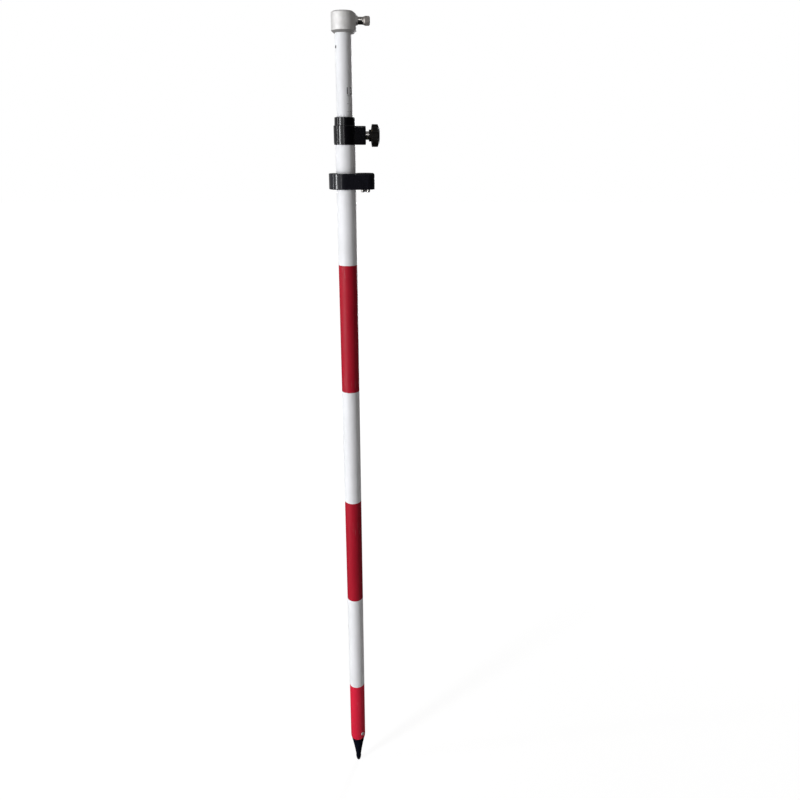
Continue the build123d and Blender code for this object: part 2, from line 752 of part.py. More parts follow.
# Fluid under the dome, with the hollow of its bubble
with BuildPart() as level_fluid:
    fluid_r = glass_cavity_r - fit_gap
    fluid_top_z = glass_bottom_z + glass_cavity_height + glass_dome - fit_gap
    fluid_edge = (fluid_r, glass_bottom_z + glass_cavity_height - fit_gap)
    bubble_edge = (bubble_d / 2, fluid_top_z)
    bubble_low = (0, fluid_top_z - bubble_depth)
    level_section = Plane(origin=(level_x, 0, 0), x_dir=(1, 0, 0), z_dir=(0, -1, 0))
    with BuildSketch(level_section):
        with BuildLine():
            TangentArc((0, fluid_top_z), fluid_edge, tangent=(1, 0))
            Polyline(
                fluid_edge,
                (fluid_r, glass_bottom_z),
                (0, glass_bottom_z),
                (0, fluid_top_z),
            )
        make_face()
    revolve(axis=Axis((level_x, 0, 0), (0, 0, 1)))
    with BuildSketch(level_section):
        with BuildLine():
            TangentArc(bubble_low, bubble_edge, tangent=(1, 0))
            Polyline(bubble_edge, (0, fluid_top_z), bubble_low)
        make_face()
    revolve(axis=Axis((level_x, 0, 0), (0, 0, 1)), mode=Mode.SUBTRACT)
level_fluid.part.label = "level_fluid"
export_step(level_fluid.part, "parts/level_fluid.step")

# Adjusting screws, from under the bracket into the housing
with BuildPart() as level_adjust_screws:
    head_low_z = bracket_bottom_z - adjuster_head_height
    shank_length = housing_bottom_z + adjuster_grip - bracket_bottom_z
    with BuildSketch(Plane.XY.offset(head_low_z)):
        with Locations((level_x, 0)):
            with PolarLocations(adjuster_pitch_d / 2, adjuster_count, start_angle=back_side):
                Circle(adjuster_head_d / 2)
    extrude(amount=adjuster_head_height)
    low_edges = level_adjust_screws.edges().group_by(Axis.Z)[0]
    fillet(low_edges, adjuster_head_round)
    with BuildSketch(Plane.XY.offset(bracket_bottom_z)):
        with Locations((level_x, 0)):
            with PolarLocations(adjuster_pitch_d / 2, adjuster_count, start_angle=back_side):
                Circle(adjuster_d / 2)
    extrude(amount=shank_length)
    with BuildSketch(Plane.XY.offset(head_low_z)):
        with Locations((level_x, 0)):
            with PolarLocations(adjuster_pitch_d / 2, adjuster_count, start_angle=back_side):
                Rectangle(adjuster_head_d, adjuster_slot)
    extrude(amount=adjuster_slot_depth, mode=Mode.SUBTRACT)
level_adjust_screws.part.label = "level_adjust_screws"
export_step(level_adjust_screws.part, "parts/level_adjust_screws.step")

# Set screw that holds the bracket on the lower tube
with BuildPart() as bracket_screw:
    screw_end_x = bracket_back_x - bracket_screw_recess
    with BuildSketch(radial_plane(bracket_back_side, bracket_mid_z, bracket_screw_x)):
        Circle(bracket_screw_d / 2)
    extrude(amount=screw_end_x - bracket_screw_x)
    key_x = screw_end_x - bracket_screw_key_depth
    with BuildSketch(radial_plane(bracket_back_side, bracket_mid_z, key_x)):
        RegularPolygon(bracket_screw_key / 2, 6, major_radius=False)
    extrude(amount=bracket_screw_key_depth, mode=Mode.SUBTRACT)
bracket_screw.part.label = "bracket_screw"
export_step(bracket_screw.part, "parts/bracket_screw.step")

# Soft pad between the set screw and the tube
with BuildPart() as bracket_pad:
    with BuildSketch(radial_plane(bracket_back_side, bracket_mid_z, bracket_pad_x)):
        Circle(bracket_screw_d / 2)
    extrude(amount=bracket_pad_length)
bracket_pad.part.label = "bracket_pad"
export_step(bracket_pad.part, "parts/bracket_pad.step")
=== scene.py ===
"""Looks of the survey prism pole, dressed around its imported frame."""
from __future__ import annotations

import logging
import math
from dataclasses import dataclass
from enum import Enum

import bmesh
import bpy
from mathutils import Matrix, Vector

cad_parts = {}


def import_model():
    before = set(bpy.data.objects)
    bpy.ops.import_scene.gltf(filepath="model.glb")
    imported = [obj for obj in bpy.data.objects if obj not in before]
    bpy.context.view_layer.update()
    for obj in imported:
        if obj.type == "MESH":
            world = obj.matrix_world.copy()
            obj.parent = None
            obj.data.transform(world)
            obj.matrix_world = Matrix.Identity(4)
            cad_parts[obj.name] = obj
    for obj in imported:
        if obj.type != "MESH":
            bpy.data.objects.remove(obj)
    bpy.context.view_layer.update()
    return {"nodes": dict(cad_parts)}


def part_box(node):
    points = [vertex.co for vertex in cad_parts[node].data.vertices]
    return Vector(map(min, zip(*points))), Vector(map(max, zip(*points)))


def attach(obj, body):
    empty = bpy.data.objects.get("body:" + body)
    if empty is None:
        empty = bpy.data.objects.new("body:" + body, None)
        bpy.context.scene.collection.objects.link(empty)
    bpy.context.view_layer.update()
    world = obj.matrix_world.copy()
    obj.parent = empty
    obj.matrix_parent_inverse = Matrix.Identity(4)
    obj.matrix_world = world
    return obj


LOG = logging.getLogger("prism_pole")
MM = 0.001

Triple = tuple[float, float, float]
Span = tuple[float, float]
Colour = Triple
Nodes = dict[str, bpy.types.Object]


class Tree:
    """Adds and links the nodes of one material, world or node group."""

    def __init__(self, tree: bpy.types.NodeTree) -> None:
        """Wraps a node tree.

        Args:
            tree: The tree that the nodes go into.
        """
        self.tree = tree

    def add(self, kind: str, **settings: object) -> bpy.types.Node:
        """Adds a node.

        Args:
            kind: The node's type, without its Shader prefix.
            settings: Properties to set on the node.

        Returns:
            The new node.
        """
        node = self.tree.nodes.new("ShaderNode" + kind)
        for name, value in settings.items():
            setattr(node, name, value)
        return node

    def feed(self, socket: bpy.types.NodeSocket, value: object) -> None:
        """Links a socket to another one, or gives it a plain value.

        Args:
            socket: The input to feed.
            value: An output socket, a number or a tuple of numbers.
        """
        if isinstance(value, bpy.types.NodeSocket):
            self.tree.links.new(value, socket)
        elif isinstance(value, tuple) and socket.type == "RGBA":
            socket.default_value = (*value, 1.0)
        else:
            socket.default_value = value

    def math(self, operation: str, *values: object, clamp: bool = False) -> bpy.types.NodeSocket:
        """Adds a Math node.

        Args:
            operation: The node's operation.
            values: Numbers or sockets for its inputs.
            clamp: Whether the result is kept between 0 and 1.

        Returns:
            The node's output.
        """
        node = self.add("Math", operation=operation, use_clamp=clamp)
        for socket, value in zip(node.inputs, values):
            self.feed(socket, value)
        return node.outputs[0]

    def remap(self, value: object, low: float, high: float, start: float = 0.0,
              end: float = 1.0) -> bpy.types.NodeSocket:
        """Maps a value from one range to another, held at the ends.

        Args:
            value: The value to map.
            low: The value that becomes start.
            high: The value that becomes end.
            start: The result at low.
            end: The result at high.

        Returns:
            The mapped value.
        """
        node = self.add("MapRange", interpolation_type="SMOOTHSTEP")
        for socket, given in zip(node.inputs, (value, low, high, start, end)):
            self.feed(socket, given)
        return node.outputs["Result"]

    def mix(self, factor: object, first: object, second: object) -> bpy.types.NodeSocket:
        """Mixes two colours.

        Args:
            factor: 0 for the first colour, 1 for the second.
            first: A colour or a socket.
            second: A colour or a socket.

        Returns:
            The mixed colour.
        """
        node = self.add("Mix", data_type="RGBA")
        self.feed(node.inputs[0], factor)
        self.feed(node.inputs[6], first)
        self.feed(node.inputs[7], second)
        return node.outputs[2]

    def place(self) -> bpy.types.NodeSocket:
        """Gives the place on the part, in metres."""
        return self.add("TexCoord").outputs["Object"]

    def stretch(self, vector: object, scale: Triple) -> bpy.types.NodeSocket:
        """Scales a place along each axis.

        Args:
            vector: The place.
            scale: The factor on each axis.

        Returns:
            The scaled place.
        """
        node = self.add("VectorMath", operation="MULTIPLY")
        self.feed(node.inputs[0], vector)
        node.inputs[1].default_value = scale
        return node.outputs["Vector"]

    def noise(self, vector: object, scale: object, detail: float = 2.0) -> bpy.types.NodeSocket:
        """Adds a Noise Texture.

        Args:
            vector: The place that it reads.
            scale: Features per metre.
            detail: How many octaves it has.

        Returns:
            The noise, around 0.5.
        """
        node = self.add("TexNoise")
        self.feed(node.inputs["Vector"], vector)
        self.feed(node.inputs["Scale"], scale)
        node.inputs["Detail"].default_value = detail
        return node.outputs[0]


class Effect(Enum):
    """Surface effects that more than one finish uses."""

    PAINT_SKIN = "paint_skin"
    EDGE_WEAR = "edge_wear"
    GRAIN = "grain"
    TURNED_LINES = "turned_lines"
    HANDLING = "handling"


class EffectGroups:
    """Shader node groups, each built once and then shared."""

    def __init__(self) -> None:
        """Builds every group."""
        makers = {
            Effect.PAINT_SKIN: self._paint_skin,
            Effect.EDGE_WEAR: self._edge_wear,
            Effect.GRAIN: self._grain,
            Effect.TURNED_LINES: self._turned_lines,
            Effect.HANDLING: self._handling,
        }
        self.groups: dict[Effect, bpy.types.NodeTree] = {}
        for effect, maker in makers.items():
            self.groups[effect] = bpy.data.node_groups.new(effect.value, "ShaderNodeTree")
            maker(self.groups[effect])
            LOG.info("effect %s", effect.value)

    @staticmethod
    def _open(group: bpy.types.NodeTree, inputs: dict[str, object],
              outputs: tuple[str, ...]) -> tuple[Tree, bpy.types.Node, bpy.types.Node]:
        """Makes a group's sockets and its two end nodes.

        Args:
            group: The group.
            inputs: Names and default values; a tuple makes a vector.
            outputs: Names of the values it puts out.

        Returns:
            The tree, the input node and the output node.
        """
        for name, value in inputs.items():
            kind = "NodeSocketVector" if isinstance(value, tuple) else "NodeSocketFloat"
            socket = group.interface.new_socket(name, in_out="INPUT", socket_type=kind)
            socket.default_value = value
        for name in outputs:
            group.interface.new_socket(name, in_out="OUTPUT", socket_type="NodeSocketFloat")
        start = group.nodes.new("NodeGroupInput")
        end = group.nodes.new("NodeGroupOutput")
        return Tree(group), start, end

    def _paint_skin(self, group: bpy.types.NodeTree) -> None:
        """Sprayed paint: orange peel, slow change of tone and fine scuffs along the tube.

        Args:
            group: The group to fill.
        """
        tone_span: Span = (0.35, 0.65)
        line_scale, line_span = 1500.0, (0.62, 0.72)
        patch_scale, patch_span = 22.0, (0.52, 0.68)
        along_tube: Triple = (1.0, 1.0, 0.02)
        tree, start, end = self._open(group, {"Peel Scale": 900.0, "Tone Scale": 14.0},
                                      ("Height", "Tone", "Scuff"))
        place = tree.place()
        tree.feed(end.inputs["Height"], tree.noise(place, start.outputs["Peel Scale"], 1.0))
        slow = tree.noise(place, start.outputs["Tone Scale"], 3.0)
        tree.feed(end.inputs["Tone"], tree.remap(slow, *tone_span))
        lines = tree.noise(tree.stretch(place, along_tube), line_scale, 2.0)
        patches = tree.noise(place, patch_scale, 2.0)
        scuff = tree.math("MULTIPLY", tree.remap(lines, *line_span), tree.remap(patches, *patch_span))
        tree.feed(end.inputs["Scuff"], scuff)

    def _edge_wear(self, group: bpy.types.NodeTree) -> None:
        """Mask that rises where a surface turns a corner, broken up by noise.

        Args:
            group: The group to fill.
        """
        turn_span: Span = (0.015, 0.14)
        break_span: Span = (0.38, 0.62)
        break_least = 0.25
        tree, start, end = self._open(group, {"Radius": 0.0006, "Break Scale": 420.0}, ("Edge",))
        bevel = tree.add("Bevel", samples=4)
        tree.feed(bevel.inputs["Radius"], start.outputs["Radius"])
        dot = tree.add("VectorMath", operation="DOT_PRODUCT")
        tree.feed(dot.inputs[0], bevel.outputs["Normal"])
        tree.feed(dot.inputs[1], tree.add("NewGeometry").outputs["Normal"])
        turn = tree.math("SUBTRACT", 1.0, dot.outputs["Value"])
        patches = tree.noise(tree.place(), start.outputs["Break Scale"], 3.0)
        broken = tree.remap(patches, *break_span, break_least, 1.0)
        tree.feed(end.inputs["Edge"], tree.math("MULTIPLY", tree.remap(turn, *turn_span), broken))

    def _grain(self, group: bpy.types.NodeTree) -> None:
        """Fine even grain of a moulded or blasted surface.

        Args:
            group: The group to fill.
        """
        cloud_scale, cloud_span = 160.0, (0.3, 0.7)
        tree, start, end = self._open(group, {"Scale": 2500.0}, ("Height", "Tone"))
        place = tree.place()
        tree.feed(end.inputs["Height"], tree.noise(place, start.outputs["Scale"], 3.0))
        tree.feed(end.inputs["Tone"], tree.remap(tree.noise(place, cloud_scale, 4.0), *cloud_span))

    def _turned_lines(self, group: bpy.types.NodeTree) -> None:
        """Tool lines left on a turned piece, all around an axis.

        Args:
            group: The group to fill.
        """
        tone_span: Span = (0.3, 0.7)
        tree, start, end = self._open(group, {"Axis": (0.0, 0.0, 1.0), "Lines": 3200.0},
                                      ("Height", "Tone"))
        dot = tree.add("VectorMath", operation="DOT_PRODUCT")
        tree.feed(dot.inputs[0], tree.place())
        tree.feed(dot.inputs[1], start.outputs["Axis"])
        along = tree.math("MULTIPLY", dot.outputs["Value"], start.outputs["Lines"])
        lines = tree.add("TexNoise", noise_dimensions="1D")
        tree.feed(lines.inputs["W"], along)
        lines.inputs["Scale"].default_value = 1.0
        tree.feed(end.inputs["Height"], lines.outputs[0])
        tree.feed(end.inputs["Tone"], tree.remap(lines.outputs[0], *tone_span))

    def _handling(self, group: bpy.types.NodeTree) -> None:
        """Soft smudges and thin hair scratches from use.

        Args:
            group: The group to fill.
        """
        smudge_span: Span = (0.38, 0.66)
        hair_scale, hair_span = 2600.0, (0.66, 0.74)
        hair_stretch: Triple = (1.0, 0.7, 0.05)
        tree, start, end = self._open(group, {"Smudge Scale": 60.0}, ("Smudge", "Hair"))
        place = tree.place()
        smudge = tree.noise(place, start.outputs["Smudge Scale"], 3.0)
        tree.feed(end.inputs["Smudge"], tree.remap(smudge, *smudge_span))
        thin = tree.noise(tree.stretch(place, hair_stretch), hair_scale, 1.0)
        tree.feed(end.inputs["Hair"], tree.remap(thin, *hair_span))

    def use(self, tree: Tree, effect: Effect, **values: object) -> bpy.types.Node:
        """Places a group in a material.

        Args:
            tree: The material's tree.
            effect: Which group.
            values: Input values, with spaces in their names written as _.

        Returns:
            The group node.
        """
        node = tree.add("Group", node_tree=self.groups[effect])
        for name, value in values.items():
            node.inputs[name.replace("_", " ")].default_value = value
        return node


@dataclass(frozen=True)
class Finish:
    """A surface finish, and the plain values that its material starts from."""

    name: str
    colour: Colour
    roughness: float = 0.4
    metallic: float = 0.0
    specular: float = 0.5
    coat: float = 0.0
    coat_roughness: float = 0.06

    def build(self, effects: EffectGroups) -> bpy.types.Material:
        """Makes the material.

        Args:
            effects: The shared node groups.

        Returns:
            The finished material.
        """
        material = bpy.data.materials.new(self.name)
        material.use_nodes = True
        material.diffuse_color = (*self.colour, 1.0)
        tree = Tree(material.node_tree)
        shader = material.node_tree.nodes["Principled BSDF"]
        shader.inputs["Base Color"].default_value = (*self.colour, 1.0)
        shader.inputs["Roughness"].default_value = self.roughness
        shader.inputs["Metallic"].default_value = self.metallic
        shader.inputs["Specular IOR Level"].default_value = self.specular
        shader.inputs["Coat Weight"].default_value = self.coat
        shader.inputs["Coat Roughness"].default_value = self.coat_roughness
        self.dress(tree, shader, effects)
        return material

    def dress(self, tree: Tree, shader: bpy.types.Node, effects: EffectGroups) -> None:
        """Adds what varies over the surface; each kind of finish has its own.

        Args:
            tree: The material's tree.
            shader: Its Principled BSDF.
            effects: The shared node groups.
        """
        raise NotImplementedError

    @staticmethod
    def bump(tree: Tree, shader: bpy.types.Node, height: object, distance: float) -> None:
        """Feeds the shader's Normal from a height.

        Args:
            tree: The material's tree.
            shader: Its Principled BSDF.
            height: The height, from 0 to 1.
            distance: The depth of a height of 1, in metres.
        """
        node = tree.add("Bump")
        node.inputs["Strength"].default_value = 1.0
        node.inputs["Distance"].default_value = distance
        tree.feed(node.inputs["Height"], height)
        tree.feed(shader.inputs["Normal"], node.outputs["Normal"])


@dataclass(frozen=True)
class PaintFinish(Finish):
    """Gloss paint on a tube, in one colour or in bands counted from the point; the lowest band can take
    a lighter copy of a colour, as painted light at the foot.
    """

    band_colour: Colour | None = None
    lit_first_band_colour: Colour | None = None
    band_length: float = 0.2
    ridge_share: float = 0.003
    ridge_height: float = 6.0
    peel: float = 6e-6
    tone_least: float = 0.955
    scuff_colour: Colour = (0.55, 0.53, 0.52)
    scuff_share: float = 0.25
    rough_spread: float = 0.07

    def dress(self, tree: Tree, shader: bpy.types.Node, effects: EffectGroups) -> None:
        """Adds the bands, the peel, the change of tone and the scuffs.

        Args:
            tree: The material's tree.
            shader: Its Principled BSDF.
            effects: The shared node groups.
        """
        skin = effects.use(tree, Effect.PAINT_SKIN)
        height = skin.outputs["Height"]
        paint: object = self.colour
        if self.band_colour and self.lit_first_band_colour:
            split = tree.add("SeparateXYZ")
            tree.feed(split.inputs[0], tree.place())
            count = tree.math("DIVIDE", split.outputs["Z"], self.band_length)
            odd = tree.math("FLOORED_MODULO", tree.math("FLOOR", count), 2.0)
            paint = tree.mix(odd, self.band_colour, self.colour)
            # Painted light: the lowest band takes a lighter copy of the red.
            paint = tree.mix(tree.math("LESS_THAN", count, 1.0), paint, self.lit_first_band_colour)
            rest = tree.math("FRACT", count)
            to_edge = tree.math("MINIMUM", rest, tree.math("SUBTRACT", 1.0, rest))
            ridge = tree.remap(to_edge, 0.0, self.ridge_share, self.ridge_height, 0.0)
            height = tree.math("ADD", height, ridge)
        shade = tree.remap(skin.outputs["Tone"], 0.0, 1.0, self.tone_least, 1.0)
        toned = tree.add("Mix", data_type="RGBA", blend_type="MULTIPLY")
        toned.inputs[0].default_value = 1.0
        tree.feed(toned.inputs[6], paint)
        tree.feed(toned.inputs[7], shade)
        dull = tree.math("MULTIPLY", skin.outputs["Scuff"], self.scuff_share)
        worn = tree.mix(dull, toned.outputs[2], self.scuff_colour)
        tree.feed(shader.inputs["Base Color"], worn)
        roughest = self.roughness + self.rough_spread
        rough = tree.remap(skin.outputs["Tone"], 0.0, 1.0, self.roughness, roughest)
        tree.feed(shader.inputs["Roughness"], tree.math("ADD", rough, dull))
        self.bump(tree, shader, height, self.peel)


@dataclass(frozen=True)
class MouldedFinish(Finish):
    """Moulded plastic or rubber with a fine grain and rubbed edges."""

    grain_scale: float = 2600.0
    grain_depth: float = 8e-6
    lift: float = 1.35
    edge_colour: Colour = (0.06, 0.06, 0.06)
    edge_share: float = 0.5
    edge_radius: float = 0.5 * MM
    rough_spread: float = 0.08
    hair_share: float = 0.06

    def dress(self, tree: Tree, shader: bpy.types.Node, effects: EffectGroups) -> None:
        """Adds the grain, the smudges and the rubbed edges.

        Args:
            tree: The material's tree.
            shader: Its Principled BSDF.
            effects: The shared node groups.
        """
        grain = effects.use(tree, Effect.GRAIN, Scale=self.grain_scale)
        hands = effects.use(tree, Effect.HANDLING)
        wear = effects.use(tree, Effect.EDGE_WEAR, Radius=self.edge_radius)
        lifted = tuple(min(1.0, part * self.lift) for part in self.colour)
        base = tree.mix(grain.outputs["Tone"], self.colour, lifted)
        edge = tree.math("MULTIPLY", wear.outputs["Edge"], self.edge_share)
        tree.feed(shader.inputs["Base Color"], tree.mix(edge, base, self.edge_colour))
        roughest = self.roughness + self.rough_spread
        rough = tree.remap(hands.outputs["Smudge"], 0.0, 1.0, self.roughness, roughest)
        hair = tree.math("MULTIPLY", hands.outputs["Hair"], self.hair_share)
        tree.feed(shader.inputs["Roughness"], tree.math("ADD", rough, hair))
        self.bump(tree, shader, grain.outputs["Height"], self.grain_depth)


@dataclass(frozen=True)
class MetalFinish(Finish):
    """Turned, plated or blackened metal with tool lines and bright or worn edges."""

    axis: Triple = (0.0, 0.0, 1.0)
    lines: float = 3200.0
    line_depth: float = 4e-6
    dim: float = 0.86
    edge_colour: Colour = (0.9, 0.89, 0.87)
    edge_share: float = 0.6
    edge_radius: float = 0.4 * MM
    smudge_scale: float = 110.0
    rough_spread: float = 0.1

    def dress(self, tree: Tree, shader: bpy.types.Node, effects: EffectGroups) -> None:
        """Adds the tool lines, the smudges and the edges.

        Args:
            tree: The material's tree.
            shader: Its Principled BSDF.
            effects: The shared node groups.
        """
        turned = effects.use(tree, Effect.TURNED_LINES, Axis=self.axis, Lines=self.lines)
        hands = effects.use(tree, Effect.HANDLING, Smudge_Scale=self.smudge_scale)
        wear = effects.use(tree, Effect.EDGE_WEAR, Radius=self.edge_radius)
        dimmed = tuple(part * self.dim for part in self.colour)
        base = tree.mix(turned.outputs["Tone"], dimmed, self.colour)
        edge = tree.math("MULTIPLY", wear.outputs["Edge"], self.edge_share)
        tree.feed(shader.inputs["Base Color"], tree.mix(edge, base, self.edge_colour))
        roughest = self.roughness + self.rough_spread
        rough = tree.remap(hands.outputs["Smudge"], 0.0, 1.0, self.roughness, roughest)
        tree.feed(shader.inputs["Roughness"], rough)
        self.bump(tree, shader, turned.outputs["Height"], self.line_depth)


@dataclass(frozen=True)
class ScrewFinish(MetalFinish):
    """Polished metal whose flare and knurled rim, past a given x, are dull and darker."""

    rim_start: float = 26.4 * MM
    rim_blend: float = 0.1 * MM
    rim_colour: Colour = (0.42, 0.39, 0.365)
    rim_roughness: float = 0.60

    def dress(self, tree: Tree, shader: bpy.types.Node, effects: EffectGroups) -> None:
        """Adds the tool lines and edges, then the rim.

        Args:
            tree: The material's tree.
            shader: Its Principled BSDF.
            effects: The shared node groups.
        """
        super().dress(tree, shader, effects)
        split = tree.add("SeparateXYZ")
        tree.feed(split.inputs[0], tree.place())
        low, high = self.rim_start - self.rim_blend, self.rim_start + self.rim_blend
        rim = tree.remap(split.outputs["X"], low, high)
        plain = shader.inputs["Base Color"].links[0].from_socket
        tree.feed(shader.inputs["Base Color"], tree.mix(rim, plain, self.rim_colour))
        rough = shader.inputs["Roughness"].links[0].from_socket
        dull = tree.math("MULTIPLY", rim, self.rim_roughness)
        tree.feed(shader.inputs["Roughness"], tree.math("MAXIMUM", rough, dull))


@dataclass(frozen=True)
class CastFinish(Finish):
    """Satin cast metal, bead blasted all over, with edges rubbed bright and painted shade on its
    undersides.
    """

    grain_scale: float = 3000.0
    grain_depth: float = 1.4e-5
    dim: float = 0.9
    edge_colour: Colour = (0.93, 0.92, 0.90)
    edge_share: float = 0.3
    edge_radius: float = 0.7 * MM
    edge_shine: float = 0.12
    underside_shade_colour: Colour = (0.28, 0.27, 0.265)
    underside_shade_slope: Span = (-0.25, -0.55)
    smudge_scale: float = 90.0
    rough_spread: float = 0.08

    def dress(self, tree: Tree, shader: bpy.types.Node, effects: EffectGroups) -> None:
        """Adds the blasted grain, clouding, bright edges and painted shade on the undersides.

        Args:
            tree: The material's tree.
            shader: Its Principled BSDF.
            effects: The shared node groups.
        """
        grain = effects.use(tree, Effect.GRAIN, Scale=self.grain_scale)
        hands = effects.use(tree, Effect.HANDLING, Smudge_Scale=self.smudge_scale)
        wear = effects.use(tree, Effect.EDGE_WEAR, Radius=self.edge_radius)
        dimmed = tuple(part * self.dim for part in self.colour)
        base = tree.mix(grain.outputs["Tone"], dimmed, self.colour)
        facing = tree.add("SeparateXYZ")
        tree.feed(facing.inputs[0], tree.add("NewGeometry").outputs["Normal"])
        # Painted shade: downward-facing surfaces are darkened towards the underside shade colour.
        base = tree.mix(tree.remap(facing.outputs["Z"], *self.underside_shade_slope), base, self.underside_shade_colour)
        edge = tree.math("MULTIPLY", wear.outputs["Edge"], self.edge_share)
        tree.feed(shader.inputs["Base Color"], tree.mix(edge, base, self.edge_colour))
        roughest = self.roughness + self.rough_spread
        rough = tree.remap(hands.outputs["Smudge"], 0.0, 1.0, self.roughness, roughest)
        shine = tree.math("MULTIPLY", edge, self.edge_shine)
        tree.feed(shader.inputs["Roughness"], tree.math("SUBTRACT", rough, shine))
        self.bump(tree, shader, grain.outputs["Height"], self.grain_depth)


@dataclass(frozen=True)
class ClearFinish(Finish):
    """Glass, or the fluid of the level."""

    ior: float = 1.5
    smudge_scale: float = 140.0
    rough_spread: float = 0.03

    def dress(self, tree: Tree, shader: bpy.types.Node, effects: EffectGroups) -> None:
        """Makes it clear, with faint finger marks on its roughness.

        Args:
            tree: The material's tree.
            shader: Its Principled BSDF.
            effects: The shared node groups.
        """
        shader.inputs["Transmission Weight"].default_value = 1.0
        shader.inputs["IOR"].default_value = self.ior
        hands = effects.use(tree, Effect.HANDLING, Smudge_Scale=self.smudge_scale)
        roughest = self.roughness + self.rough_spread
        rough = tree.remap(hands.outputs["Smudge"], 0.0, 1.0, self.roughness, roughest)
        tree.feed(shader.inputs["Roughness"], rough)


@dataclass(frozen=True)
class InkFinish(Finish):
    """Black printing, a little thin in places."""

    thin_colour: Colour = (0.10, 0.10, 0.10)
    grain_scale: float = 4000.0
    grain_depth: float = 3e-6

    def dress(self, tree: Tree, shader: bpy.types.Node, effects: EffectGroups) -> None:
        """Varies how dense the ink is.

        Args:
            tree: The material's tree.
            shader: Its Principled BSDF.
            effects: The shared node groups.
        """
        grain = effects.use(tree, Effect.GRAIN, Scale=self.grain_scale)
        density = tree.mix(grain.outputs["Tone"], self.colour, self.thin_colour)
        tree.feed(shader.inputs["Base Color"], density)
        self.bump(tree, shader, grain.outputs["Height"], self.grain_depth)


WHITE_PAINT: Colour = (0.82, 0.82, 0.84)
RED_PAINT: Colour = (0.395, 0.006, 0.021)
# Painted light: a lighter copy of RED_PAINT for the lowest band and the foot plug, standing in for more
# light at the foot.
LIT_FOOT_RED: Colour = (0.67, 0.013, 0.043)


class Look(Enum):
    """The finishes of the pole."""

    BANDED_PAINT = PaintFinish("banded_paint", WHITE_PAINT, 0.42, specular=0.15, band_colour=RED_PAINT,
                               lit_first_band_colour=LIT_FOOT_RED)
    WHITE_TUBE = PaintFinish("white_tube_paint", WHITE_PAINT, 0.38, specular=0.15)
    LIT_RED_FOOT = PaintFinish("lit_red_foot_paint", LIT_FOOT_RED, 0.42, specular=0.15)
    BLACK_POINT = MetalFinish("black_point_steel", (0.003, 0.004, 0.011), 0.48, specular=0.10,
                              edge_colour=(0.06, 0.06, 0.07), edge_share=0.5, lines=1400.0)
    BRIGHT_STEEL = MetalFinish("bright_steel", (0.58, 0.565, 0.55), 0.22, metallic=1.0)
    STUD_STEEL = MetalFinish("dark_plated_steel", (0.46, 0.44, 0.42), 0.19, metallic=1.0,
                             axis=(1.0, 0.0, 0.0), edge_colour=(0.62, 0.60, 0.58))
    EYELET_STEEL = MetalFinish("eyelet_steel", (0.80, 0.77, 0.76), 0.34, metallic=0.30)
    BLACK_SCREW = MetalFinish("black_oxide_steel", (0.006, 0.006, 0.007), 0.45, specular=0.06,
                              edge_colour=(0.03, 0.03, 0.03))
    GLOSS_BLACK = MouldedFinish("gloss_black_moulding", (0.0015, 0.0014, 0.0023), 0.26, specular=0.09,
                                coat=0.8, coat_roughness=0.14, grain_depth=3e-7,
                                edge_colour=(0.03, 0.03, 0.032))
    BRACKET_BLACK = MouldedFinish("bracket_black_moulding", (0.008, 0.008, 0.0115), 0.26, specular=0.12,
                                  coat=0.65, coat_roughness=0.14, grain_depth=3e-7,
                                  edge_colour=(0.03, 0.03, 0.034))
    SATIN_BLACK = MouldedFinish("satin_black_moulding", (0.004, 0.0034, 0.0028), 0.42, specular=0.17,
                                grain_depth=1.6e-5, edge_colour=(0.03, 0.027, 0.024))
    NYLON = MouldedFinish("natural_nylon", (0.76, 0.74, 0.67), 0.48, edge_colour=(0.85, 0.84, 0.80))
    RUBBER = MouldedFinish("seat_rubber", (0.016, 0.016, 0.016), 0.70, grain_depth=2e-5)
    BRASS = MetalFinish("turned_brass", (0.72, 0.53, 0.24), 0.26, metallic=1.0,
                        axis=(1.0, 0.0, 0.0), edge_colour=(0.88, 0.72, 0.42))
    SATIN_SILVER = CastFinish("satin_silver_casting", (0.73, 0.715, 0.705), 0.49, metallic=0.28,
                              specular=0.3)
    POLISHED = ScrewFinish("polished_plate", (0.48, 0.455, 0.43), 0.19, metallic=1.0,
                           axis=(1.0, 0.0, 0.0), line_depth=2e-6)
    BLACK_ANODISED = MetalFinish("black_anodised", (0.014, 0.014, 0.016), 0.32, specular=0.45,
                                 edge_colour=(0.30, 0.30, 0.31), edge_share=0.35)
    VIAL_GLASS = ClearFinish("vial_glass", (0.97, 0.99, 0.97), 0.01)
    VIAL_FLUID = ClearFinish("vial_fluid", (0.70, 0.87, 0.18), 0.0, ior=1.36)
    SCALE_INK = InkFinish("scale_ink", (0.02, 0.02, 0.02), 0.45)


class Wardrobe:
    """Builds the materials and puts them on objects."""

    def __init__(self, effects: EffectGroups) -> None:
        """Builds every finish.

        Args:
            effects: The shared node groups.
        """
        self.materials = {look: look.value.build(effects) for look in Look}

    def wear(self, piece: bpy.types.Object, look: Look) -> None:
        """Gives an object one material on all its faces.

        Args:
            piece: The object.
            look: Its finish.
        """
        material = self.materials[look]
        if not piece.material_slots:
            piece.data.materials.append(material)
        for slot in piece.material_slots:
            slot.material = material
        LOG.info("dressed %s in %s", piece.name, material.name)


@dataclass
class SubAssembly:
    """Pieces that belong together, and the finish of each CAD node among them."""

    looks: tuple[tuple[str, Look], ...] = ()

    def build(self, wardrobe: Wardrobe) -> None:
        """Makes the pieces that the CAD model doesn't hold; most sub-assemblies have none.

        Args:
            wardrobe: The finishes.
        """

    def dress(self, nodes: Nodes, wardrobe: Wardrobe) -> None:
        """Dresses the CAD nodes.

        Args:
            nodes: The CAD objects by name.
            wardrobe: The finishes.
        """
        for name, look in self.looks:
            wardrobe.wear(nodes[name], look)


